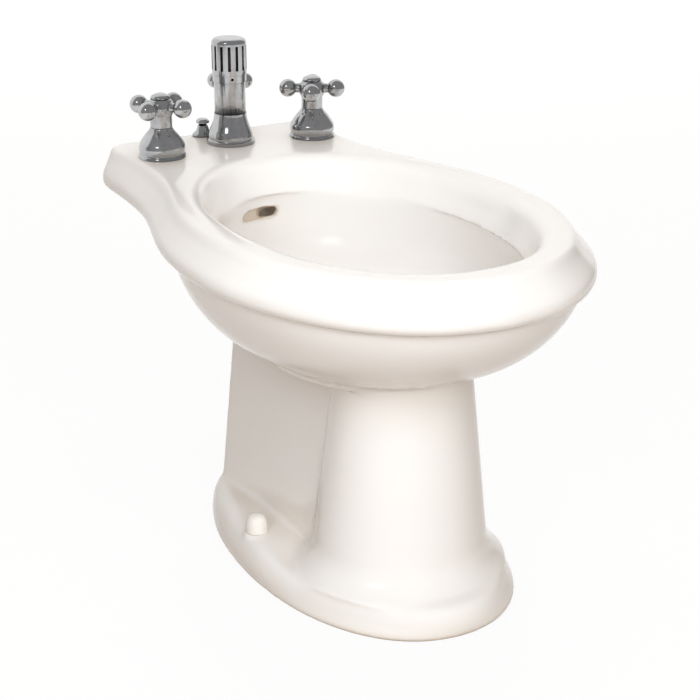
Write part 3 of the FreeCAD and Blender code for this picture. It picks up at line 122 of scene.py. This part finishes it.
class Maker:                            # adds nodes to the tree of a material or of the world
    def __init__(self, tree):
        self.tree = tree

    def node(self, kind, settings=None, links=None, out=0):
        made = self.tree.nodes.new(kind)
        for key, value in (settings or {}).items():
            if key == "stops":
                self.setStops(made.color_ramp, value)
            else:
                setattr(made, key, value)
        self.feed(made, links or {})
        return Sock(self, made.outputs[out]) if made.outputs else None

    def setStops(self, ramp, stops):
        for stop in stops[2:]:          # a new ramp has two
            ramp.elements.new(0.5)
        for element, (at, color) in zip(ramp.elements, stops):
            element.position = at
            element.color = color

    def feed(self, made, values):       # a link or a fixed value for each input that is named
        for key, value in values.items():
            if isinstance(value, Sock):
                self.tree.links.new(value.socket, made.inputs[key])
            else:
                made.inputs[key].default_value = value

    def blend(self, share, first, second):
        return self.node("ShaderNodeMix", {"data_type": "RGBA"}, {0: share, 6: first, 7: second}, out=2)

    def seenDirectly(self):             # 1 for the camera, and in gloss and glass
        seen = self.node("ShaderNodeLightPath", out="Is Camera Ray")
        gloss, glass = seen.sibling("Is Glossy Ray"), seen.sibling("Is Transmission Ray")
        return seen.calc("MAXIMUM", gloss).calc("MAXIMUM", glass)


class Finish(Maker):                    # a material and the nodes it is made of
    def __init__(self, name):
        self.material = bpy.data.materials.new(name)
        self.material.use_nodes = True
        super().__init__(self.material.node_tree)
        self.shader = self.tree.nodes["Principled BSDF"]
        self.place = self.node("ShaderNodeTexCoord", out="Object")

    def shade(self, values):
        self.feed(self.shader, values)

    def noise(self, scale, detail=3.0, rough=0.5, stretch=None):
        where = self.place
        if stretch:
            where = self.node("ShaderNodeMapping", links={"Vector": where, "Scale": stretch})
        return self.node("ShaderNodeTexNoise", links={
            "Vector": where, "Scale": scale, "Detail": detail, "Roughness": rough}, out="Fac")

    def ramp(self, value, stops):
        return self.node("ShaderNodeValToRGB", {"stops": stops}, {"Fac": value}, out="Color")

    def bump(self, height, depth, strength):
        return self.node("ShaderNodeBump", links={
            "Height": height, "Distance": depth, "Strength": strength}, out="Normal")

    def closeness(self, reach, samples):            # 0 on open skin, towards 1 deep in a corner; the mask that painted shade follows
        return 1 - self.node("ShaderNodeAmbientOcclusion", {"samples": samples}, {"Distance": reach}, out="AO")


def addObject(mesh, name):
    data = bpy.data.meshes.new(name)
    mesh.to_mesh(data)
    mesh.free()
    made = bpy.data.objects.new(name, data)
    scene.collection.objects.link(made)
    return made


floorFacts = {
    "size": 7.0,
    "color": (0.93, 0.925, 0.915, 1.0),
    "bounceColor": (0.30, 0.21, 0.13, 1.0),         # what the floor throws back on the china
    "glow": 0.93,                       # how white the camera sees the floor; the rest keeps the shadow
    "grain": {"scale": 30.0, "detail": 4.0},
    "roughness": (0.90, 0.05),          # at the least, and what the grain adds
}


def makeFloor(facts):
    mesh = bmesh.new()
    bmesh.ops.create_grid(mesh, x_segments=1, y_segments=1, size=facts["size"])
    floor = addObject(mesh, "studioFloor")
    paint = Finish("studioPaper")
    grain = paint.noise(**facts["grain"])
    seen = paint.seenDirectly()
    least, more = facts["roughness"]
    paint.shade({
        "Base Color": paint.blend(seen, facts["bounceColor"], facts["color"]),
        "Roughness": least + grain * more, "Specular IOR Level": 0.0})
    glow = paint.node("ShaderNodeEmission", links={"Color": (1, 1, 1, 1), "Strength": 1.0})
    lit = Sock(paint, paint.shader.outputs[0])
    both = paint.node("ShaderNodeMixShader", links={0: seen * facts["glow"], 1: lit, 2: glow})
    paint.feed(paint.tree.nodes["Material Output"], {"Surface": both})
    floor.data.materials.append(paint.material)


worldFacts = {
    "color": (1.0, 0.74, 0.50, 1.0),
    "sideColor": (0.40, 0.22, 0.10, 1.0),           # the darker side of the room
    "sideToward": (-0.861, 0.509, 0.0),
    "level": 0.24,
}


def lightWorld(facts):                  # a dim warm room that the camera and the gloss see as white
    world = bpy.data.worlds.new("studioWorld")
    world.use_nodes = True
    scene.world = world
    world.node_tree.nodes.clear()
    room = Maker(world.node_tree)
    toward = room.node("ShaderNodeTexCoord", out="Generated")
    side = room.node(
        "ShaderNodeVectorMath", {"operation": "DOT_PRODUCT"}, {0: toward, 1: facts["sideToward"]}, out="Value")
    tone = room.blend(side.clamped(), facts["color"], facts["sideColor"])
    dim = room.node("ShaderNodeBackground", links={"Color": tone, "Strength": facts["level"]})
    white = room.node("ShaderNodeBackground", links={"Color": (1, 1, 1, 1)})
    both = room.node("ShaderNodeMixShader", links={0: room.seenDirectly(), 1: dim, 2: white})
    room.node("ShaderNodeOutputWorld", links={"Surface": both})


lampAim = (0, -0.03, 0.2)
lampFacts = {
    "keyLamp": {"place": (-1.22, -2.07, 1.32), "power": 83.0, "size": 3.2, "color": (0.93, 0.97, 1.0)},
    "glintLamp": {"place": (-1.9, -1.2, 2.0), "power": 4.0, "size": 0.7, "shines": True},   # for the highlights
    "topLamp": {"place": (0.1, 0.2, 2.6), "power": 15.0, "size": 1.6},
    "backLamp": {"place": (2.10, 3.65, 1.10), "power": 170.0, "size": 3.2},     # for the side that faces the wall
}


def addLamp(name, place, power, size, color=(1, 1, 1), shines=False):
    data = bpy.data.lights.new(name, "AREA")
    data.shape = "DISK"
    data.energy, data.size, data.color = power, size, color
    lamp = bpy.data.objects.new(name, data)
    scene.collection.objects.link(lamp)
    toward = Vector(place) - Vector(lampAim)
    lamp.matrix_world = Matrix.Translation(place) @ toward.to_track_quat("Z", "Y").to_matrix().to_4x4()
    lamp.visible_camera = False
    lamp.visible_glossy = shines


flagFacts = {
    "color": (0.40, 0.40, 0.405, 1.0),
    "shade": (0.24, 0.24, 0.243, 1.0),
    "cloud": {"scale": 1.3, "detail": 2.0},
    "roughness": 0.95,
    "cards": {                          # the lowest and the highest corner of each
        "flagLeft": ((-2.9, -3.4, 0.0), (-2.8, 1.2, 3.0)),
        "flagRight": ((2.8, -3.4, 0.0), (2.9, 1.2, 3.0)),
        "flagFront": ((-2.9, -3.5, 0.0), (2.9, -3.4, 3.0)),
        "flagTop": ((-2.9, -3.5, 3.0), (2.9, 1.2, 3.1)),
    },
}


def addFlag(name, facts):               # a grey card that only gloss can see, as photographers hang them
    mesh = bmesh.new()
    bmesh.ops.create_cube(mesh, size=1.0)
    low, high = (Vector(corner) for corner in facts["cards"][name])
    bmesh.ops.scale(mesh, vec=high - low, verts=mesh.verts)
    bmesh.ops.translate(mesh, vec=(low + high) / 2, verts=mesh.verts)
    flag = addObject(mesh, name)
    card = Finish(name + "Card")
    tone = card.blend(card.noise(**facts["cloud"]), facts["color"], facts["shade"])
    card.shade({
        "Base Color": (0, 0, 0, 1), "Roughness": facts["roughness"],
        "Emission Color": tone, "Emission Strength": 1.0})
    flag.data.materials.append(card.material)
    flag.visible_camera = flag.visible_diffuse = flag.visible_shadow = False


scene.view_settings.view_transform = "Standard"
makeFloor(floorFacts)
lightWorld(worldFacts)
for name, lamp in lampFacts.items():
    addLamp(name, **lamp)
for name in flagFacts["cards"]:
    addFlag(name, flagFacts)
print("floor, world and lamps made")


glazeFacts = {
    "tones": ((0.3, (0.915, 0.909, 0.898, 1)), (0.7, (0.930, 0.926, 0.917, 1))),
    "cloud": {"scale": 5.0, "detail": 2.0},
    "fleck": {"scale": 900.0, "detail": 1.0},
    "ripple": {"scale": 55.0, "detail": 2.0},
    "rippleShares": (0.7, 0.02),        # of the ripple and of the flecks in the relief
    "relief": (0.0003, 0.5),            # depth and strength
    "roughness": (0.09, 0.05),          # at the least, and what the cloud adds
    # painted shade: a warm tan mixed into the glaze where the skin is closed in, in hollows and corners
    "hollow": {"reach": 0.06, "samples": 8},
    "hollowShare": 0.75,
    "hollowTone": (0.72, 0.58, 0.43, 1),
    # painted shade: a dark brown line drawn along the creases where the surfaces meet
    "seam": {"reach": 0.014, "samples": 16},
    "seamFrom": 0.34,                   # how closed in a crease is before the painted shade starts
    "seamSlope": 2.2,
    "seamShare": 0.75,
    "seamTone": (0.46, 0.31, 0.18, 1),
    "mouthPlace": (-0.0125, 0.3225),    # x and z of the overflow's mouth, where shade is painted into its recess
    "mouthHalf": (0.0235, 0.0068),
    "mouthSlope": 5.0,                  # how fast the painted shade fades in at the outline
    "mouthWall": (0.10, 0.175),         # y of the wall it is in
    "mouthEdge": 500.0,                 # how fast it fades at the wall's two faces, per metre
    "mouthShare": 0.8,
    "mouthTone": (0.66, 0.54, 0.41, 1),
    "ior": 1.45,
    "coat": (0.12, 0.05),               # weight and roughness
}


# painted shade: a tan tint over the shallow recess round the overflow's mouth
def mouthShadeMask(glaze, facts):
    x = glaze.node("ShaderNodeSeparateXYZ", links={0: glaze.place}, out="X")
    y, z = x.sibling("Y"), x.sibling("Z")
    across, up = (
        (at - middle) * (1 / half) for at, middle, half in zip((x, z), facts["mouthPlace"], facts["mouthHalf"]))
    mouth = ((1 - (across * across) ** 2 - (up * up) ** 1.5) * facts["mouthSlope"]).clamped()
    front, rear = facts["mouthWall"]
    return mouth * ((y - front) * facts["mouthEdge"]).clamped() * ((rear - y) * facts["mouthEdge"]).clamped()


def glazeFinish(facts):
    glaze = Finish("glazedChina")
    cloud = glaze.noise(**facts["cloud"])
    hollow = glaze.closeness(**facts["hollow"])
    seam = glaze.closeness(**facts["seam"])
    tone = glaze.ramp(cloud, facts["tones"])
    # painted shade: the warm tan of the hollows
    tone = glaze.blend(hollow * facts["hollowShare"], tone, facts["hollowTone"])
    # painted shade in the overflow's recess
    tone = glaze.blend(mouthShadeMask(glaze, facts) * facts["mouthShare"], tone, facts["mouthTone"])
    # painted shade along the creases
    creaseShadeMask = ((seam - facts["seamFrom"]) * facts["seamSlope"]).clamped()
    tone = glaze.blend(creaseShadeMask * facts["seamShare"], tone, facts["seamTone"])
    rippleShare, fleckShare = facts["rippleShares"]
    relief = glaze.noise(**facts["ripple"]) * rippleShare + glaze.noise(**facts["fleck"]) * fleckShare
    least, more = facts["roughness"]
    weight, soft = facts["coat"]
    glaze.shade({
        "Base Color": tone, "Roughness": least + cloud * more, "Normal": glaze.bump(relief, *facts["relief"]),
        "IOR": facts["ior"], "Coat Weight": weight, "Coat Roughness": soft})
    return glaze.material


chromeFacts = {
    "tones": ((0.35, (0.46, 0.465, 0.475, 1)), (0.65, (0.55, 0.553, 0.556, 1))),
    "smear": {"scale": 60.0, "detail": 4.0, "rough": 0.6},
    "spots": {"scale": 420.0, "detail": 2.0},
    "spotsFrom": 0.62,
    "spotsSlope": 12.5,
    # painted shade: the chrome turns nearly black where the skin is closed in
    "hollow": {"reach": 0.014, "samples": 8},
    "hollowTone": (0.06, 0.06, 0.062, 1),
    "roughness": (0.08, 0.10, 0.08),    # at the least, what the smear adds, what a spot adds
    "relief": (0.00016, 0.5),
}


def chromeFinish(facts):
    chrome = Finish("polishedChrome")
    smear = chrome.noise(**facts["smear"])
    spots = ((chrome.noise(**facts["spots"]) - facts["spotsFrom"]) * facts["spotsSlope"]).clamped()
    # painted shade in the corners
    hollow = chrome.closeness(**facts["hollow"]).clamped()
    tone = chrome.blend(hollow, chrome.ramp(smear, facts["tones"]), facts["hollowTone"])
    least, smeared, spotted = facts["roughness"]
    chrome.shade({
        "Base Color": tone, "Metallic": 1.0, "Roughness": smear * smeared + least + spots * spotted,
        "Normal": chrome.bump(smear, *facts["relief"])})
    return chrome.material


plainFacts = {                          # finishes whose tone and gloss follow one cloud
    "brass": {
        "name": "machinedBrass", "metallic": 1.0, "coat": 0.0,
        "cloud": {"scale": 70.0, "detail": 4.0, "rough": 0.65},
        "tones": ((0.3, (0.50, 0.36, 0.16, 1)), (0.7, (0.68, 0.52, 0.27, 1))),
        "roughness": (0.26, 0.22),
        "marks": {"scale": 220.0, "detail": 1.0, "stretch": (0.02, 0.02, 1.0)}, "relief": (0.0002, 0.35),
    },
    "copper_tube": {
        "name": "drawnCopper", "metallic": 1.0, "coat": 0.0,
        "cloud": {"scale": 45.0, "detail": 5.0, "rough": 0.6},
        "tones": ((0.30, (0.42, 0.21, 0.12, 1)), (0.55, (0.70, 0.38, 0.24, 1)), (0.75, (0.78, 0.47, 0.32, 1))),
        "roughness": (0.22, 0.3),
    },
    "rubber": {
        "name": "blackRubber", "metallic": 0.0, "coat": 0.0,
        "cloud": {"scale": 40.0, "detail": 3.0},
        "tones": ((0.4, (0.018, 0.018, 0.019, 1)), (0.8, (0.055, 0.053, 0.050, 1))),
        "roughness": (0.62, 0.2),
        "marks": {"scale": 1400.0, "detail": 2.0}, "relief": (0.0001, 0.5),
    },
    "steel": {
        "name": "platedSteel", "metallic": 1.0, "coat": 0.0,
        "cloud": {"scale": 80.0, "detail": 3.0},
        "tones": ((0.3, (0.46, 0.46, 0.47, 1)), (0.7, (0.62, 0.615, 0.60, 1))),
        "roughness": (0.27, 0.2),
        "crystals": 330.0, "relief": (0.00006, 0.4),
    },
    "cap_plastic": {
        "name": "whiteCapPlastic", "metallic": 0.0, "coat": 0.15,
        "cloud": {"scale": 60.0, "detail": 2.0},
        "tones": ((0.3, (0.855, 0.835, 0.79, 1)), (0.7, (0.88, 0.865, 0.825, 1))),
        "roughness": (0.18, 0.1),
        "marks": {"scale": 700.0, "detail": 2.0}, "relief": (0.00004, 0.3),
    },
    "float_plastic": {
        "name": "floatPlastic", "metallic": 0.0, "coat": 0.0,
        "cloud": {"scale": 900.0, "detail": 2.0},
        "tones": ((0.3, (0.03, 0.03, 0.032, 1)), (0.7, (0.05, 0.05, 0.052, 1))),
        "roughness": (0.45, 0.2),
        "marks": {"scale": 900.0, "detail": 2.0}, "relief": (0.00008, 0.4),
    },
}


def plainFinish(facts):
    finish = Finish(facts["name"])
    cloud = finish.noise(**facts["cloud"])
    least, more = facts["roughness"]
    finish.shade({
        "Base Color": finish.ramp(cloud, facts["tones"]), "Metallic": facts["metallic"],
        "Roughness": least + cloud * more, "Coat Weight": facts["coat"]})
    height = None
    if "marks" in facts:                # of the tool or the mould
        height = finish.noise(**facts["marks"])
    elif "crystals" in facts:           # of the zinc
        height = finish.node(
            "ShaderNodeTexVoronoi", links={"Vector": finish.place, "Scale": facts["crystals"]}, out="Distance")
    if height is not None:
        finish.shade({"Normal": finish.bump(height, *facts["relief"])})
    return finish.material


finishes = {"china": glazeFinish(glazeFacts), "chrome": chromeFinish(chromeFacts)}
finishes.update((slot, plainFinish(facts)) for slot, facts in plainFacts.items())
slotOf = {part["node"]: part["material_slot"] for part in frame["record"]["subparts"]}
bodyOf = {node: body for body, nodes in frame["record"]["behaviour"]["bodies"].items() for node in nodes}
for name, node in frame["nodes"].items():
    node.data.materials.clear()
    node.data.materials.append(finishes[slotOf[name]])
print("finishes:", len(finishes))


def copyOf(name, merge=0.00002):        # a welded copy of a CAD node's mesh
    mesh = bmesh.new()
    mesh.from_mesh(frame["nodes"][name].data)
    bmesh.ops.remove_doubles(mesh, verts=mesh.verts, dist=merge)
    return mesh


def cutAway(mesh, place, toward):       # what lies past the plane goes, and the cut is closed
    cut = bmesh.ops.bisect_plane(
        mesh, geom=mesh.verts[:] + mesh.edges[:] + mesh.faces[:], plane_co=place, plane_no=toward,
        clear_outer=True)["geom_cut"]
    edges = [item for item in cut if isinstance(item, bmesh.types.BMEdge)]
    bmesh.ops.holes_fill(mesh, edges=edges, sides=0)
    bmesh.ops.recalc_face_normals(mesh, faces=mesh.faces)


def smoothFaces(piece):
    piece.data.polygons.foreach_set("use_smooth", [True] * len(piece.data.polygons))


def addPiece(mesh, name, node):
    piece = addObject(mesh, name)
    smoothFaces(piece)
    piece.data.materials.append(finishes[slotOf[node]])
    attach(piece, bodyOf[node])
    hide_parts(node)
    return piece


def applyAll(piece):                    # the modifiers become the mesh
    bpy.context.view_layer.update()
    seen = piece.evaluated_get(bpy.context.evaluated_depsgraph_get())
    done = bpy.data.meshes.new_from_object(seen)
    piece.modifiers.clear()
    old = piece.data
    piece.data = done
    bpy.data.meshes.remove(old)


footFacts = {
    "middle": -0.046,                   # where the foot is widest
    "reach": (0.131, 0.201, 0.240),     # to each side, to the front and to the rear
    "rearShare": 0.5,                   # the rear end moves in by this share of an inset
    "ringSides": 160,
    "rearCut": (0.131, 0.142),          # y of the cut at the floor, and at the height below
    "rearCutHigh": 0.036,
    # how far in from the foot's edge, and how high: over the top, then back inside the wall
    "roll": (
        (0.0, 0.003), (0.0003, 0.009), (0.0012, 0.0145), (0.003, 0.0195), (0.0055, 0.0242),
        (0.0085, 0.0280), (0.012, 0.0303), (0.017, 0.0318), (0.023, 0.0325), (0.032, 0.0327),
        (0.042, 0.0328), (0.052, 0.0330), (0.062, 0.0332), (0.062, 0.0275), (0.046, 0.0245),
        (0.032, 0.0195), (0.020, 0.0150), (0.012, 0.0105), (0.007, 0.006), (0.004, 0.003)),
    "column": (-0.122, 0.085, 0.081),   # the middle of the column's wall: y, half width, half depth
    "housingHalf": 0.067,               # the middle of the rear housing's wall
    "housingFrom": -0.100,
    "land": 0.16,                       # how much the top swells at the bolts, as a share of its height
    "landFrom": (-0.085, -0.035),
    "landTo": (0.030, 0.110),
}


def eased(value, low, high):            # 0 up to low, 1 from high on, and an S between
    share = min(max((value - low) / (high - low), 0.0), 1.0)
    return share * share * (3 - 2 * share)


def addRing(mesh, facts, inset, height):
    made = bmesh.ops.create_circle(
        mesh, cap_ends=False, radius=1.0, segments=facts["ringSides"])["verts"]
    edges = list({edge for vert in made for edge in vert.link_edges})
    side, front, rear = facts["reach"]
    frontHalf = [vert for vert in made if vert.co.y < 0]
    rearHalf = [vert for vert in made if vert.co.y >= 0]
    bmesh.ops.scale(mesh, vec=(side - inset, front - inset, 1), verts=frontHalf)
    bmesh.ops.scale(mesh, vec=(side - inset, rear - inset * facts["rearShare"], 1), verts=rearHalf)
    bmesh.ops.translate(mesh, vec=(0, facts["middle"], height), verts=made)
    return edges


def clearColumn(mesh, facts):           # nothing reaches into the hollow of the column or the housing
    y, halfWidth, halfDepth = facts["column"]
    for vert in mesh.verts:
        near = math.hypot(vert.co.x / halfWidth, (vert.co.y - y) / halfDepth)
        if 0 < near < 1:
            vert.co.x, vert.co.y = vert.co.x / near, y + (vert.co.y - y) / near
        if vert.co.y > facts["housingFrom"]:
            vert.co.x = math.copysign(max(abs(vert.co.x), facts["housingHalf"]), vert.co.x)


def footRoll(facts):                    # the rounded edge that runs up to the column
    mesh = bmesh.new()
    rings = [addRing(mesh, facts, inset, height) for inset, height in facts["roll"]]
    for first, second in zip(rings, rings[1:] + rings[:1]):         # the last ring joins the first
        bmesh.ops.bridge_loops(mesh, edges=first + second)
    bmesh.ops.recalc_face_normals(mesh, faces=mesh.faces)
    for vert in mesh.verts:
        land = eased(vert.co.y, *facts["landFrom"]) * (1 - eased(vert.co.y, *facts["landTo"]))
        vert.co.z *= 1 + facts["land"] * land
    clearColumn(mesh, facts)
    low, high = facts["rearCut"]
    cutAway(mesh, (0, low, 0), Vector((0, facts["rearCutHigh"], low - high)).normalized())
    return mesh


chinaFacts = {
    "grain": 0.0021,                    # size of the cells the skin is recast in
    "rounds": 12,                       # passes that soften the arrises, as glaze does
    "soften": 0.5,
    "most": 190000,                     # triangles left
    "slotPlace": (-0.0125, 0.3225),     # x and z of the shallow dish that leads to the overflow's mouth
    "slotHalf": (0.0245, 0.0070),
    "slotRound": (4, 3),                # powers of its outline, across and up
    "slotDish": 0.0050,
    "slotFall": 0.35,                   # the smaller, the steeper its edge
    "slotWall": (0.118, 0.165),
    "slotFacing": -0.3,                 # only skin that faces the basin this much
}


def dishOverflow(mesh, facts):          # the glaze dips round the overflow's mouth
    front, rear = facts["slotWall"]
    for vert in mesh.verts:
        x, y, z = vert.co
        off = sum(
            (abs(at - middle) / half) ** power for at, middle, half, power in
            zip((x, z), facts["slotPlace"], facts["slotHalf"], facts["slotRound"]))
        if off < 1 and front < y < rear and vert.normal.y < facts["slotFacing"]:
            vert.co.y += facts["slotDish"] * (1 - off) ** facts["slotFall"]


def dropCrumbs(mesh):                   # only the casting itself stays
    left = set(mesh.verts)
    islands = []
    while left:
        island, waiting = set(), [left.pop()]
        while waiting:
            vert = waiting.pop()
            island.add(vert)
            fresh = {edge.other_vert(vert) for edge in vert.link_edges} & left
            left -= fresh
            waiting.extend(fresh)
        islands.append(island)
    islands.sort(key=len)
    crumbs = [vert for island in islands[:-1] for vert in island]
    bmesh.ops.delete(mesh, geom=crumbs, context="VERTS")
    print("islands:", [len(island) for island in islands])


def castChina(facts):
    body = copyOf("china_body")
    roll = footRoll(footFacts)
    held = bpy.data.meshes.new("held")
    roll.to_mesh(held)
    roll.free()
    body.from_mesh(held)
    bpy.data.meshes.remove(held)
    piece = addPiece(body, "chinaBody", "china_body")
    recast = piece.modifiers.new("recast", "REMESH")
    recast.mode = "VOXEL"
    recast.voxel_size = facts["grain"]
    recast.use_smooth_shade = True
    applyAll(piece)
    mesh = bmesh.new()
    mesh.from_mesh(piece.data)
    for turn in range(facts["rounds"]):
        bmesh.ops.smooth_vert(
            mesh, verts=mesh.verts, factor=facts["soften"],
            use_axis_x=True, use_axis_y=True, use_axis_z=True)
    dropCrumbs(mesh)
    mesh.normal_update()
    dishOverflow(mesh, facts)
    mesh.to_mesh(piece.data)
    mesh.free()
    triangles = sum(len(face.vertices) - 2 for face in piece.data.polygons)
    if triangles > facts["most"]:
        thin = piece.modifiers.new("thin", "DECIMATE")
        thin.ratio = facts["most"] / triangles
        applyAll(piece)
    smoothFaces(piece)
    print("china cast:", triangles, "->", len(piece.data.polygons))


castChina(chinaFacts)


fittingFacts = {
    "angle": 35.0,                      # sharper edges than this stay sharp
    "hoodTop": 0.0036,                  # how thick the hood's top is
    "floatGap": 0.0056,                 # what is left between the float and the hood's top
    "headSkin": 0.0001,                 # how far down the float's topmost face is looked for
    "trims": {"clevis": 0.0035, "hot_valve": 0.0030, "cold_valve": 0.0030},     # tails cut short at the bottom
}


def dressNode(name, facts):
    mesh = copyOf(name)
    low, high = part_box(name)
    if name in facts["trims"]:
        cutAway(mesh, (0, 0, low[2] + facts["trims"][name]), (0, 0, -1))
    if name == "tower_float":           # its head fills the hood, so the slots look dark
        top = [vert for vert in mesh.verts if vert.co.z > high[2] - facts["headSkin"]]
        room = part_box("tower_hood")[1][2] - facts["hoodTop"] - facts["floatGap"]
        bmesh.ops.translate(mesh, vec=(0, 0, room - high[2]), verts=top)
    first, *others = name.split("_")
    piece = addPiece(mesh, first + "".join(word.capitalize() for word in others), name)
    piece.data.set_sharp_from_angle(angle=math.radians(facts["angle"]))


for name in frame["nodes"]:
    if name != "china_body":
        dressNode(name, fittingFacts)
print("fittings dressed")
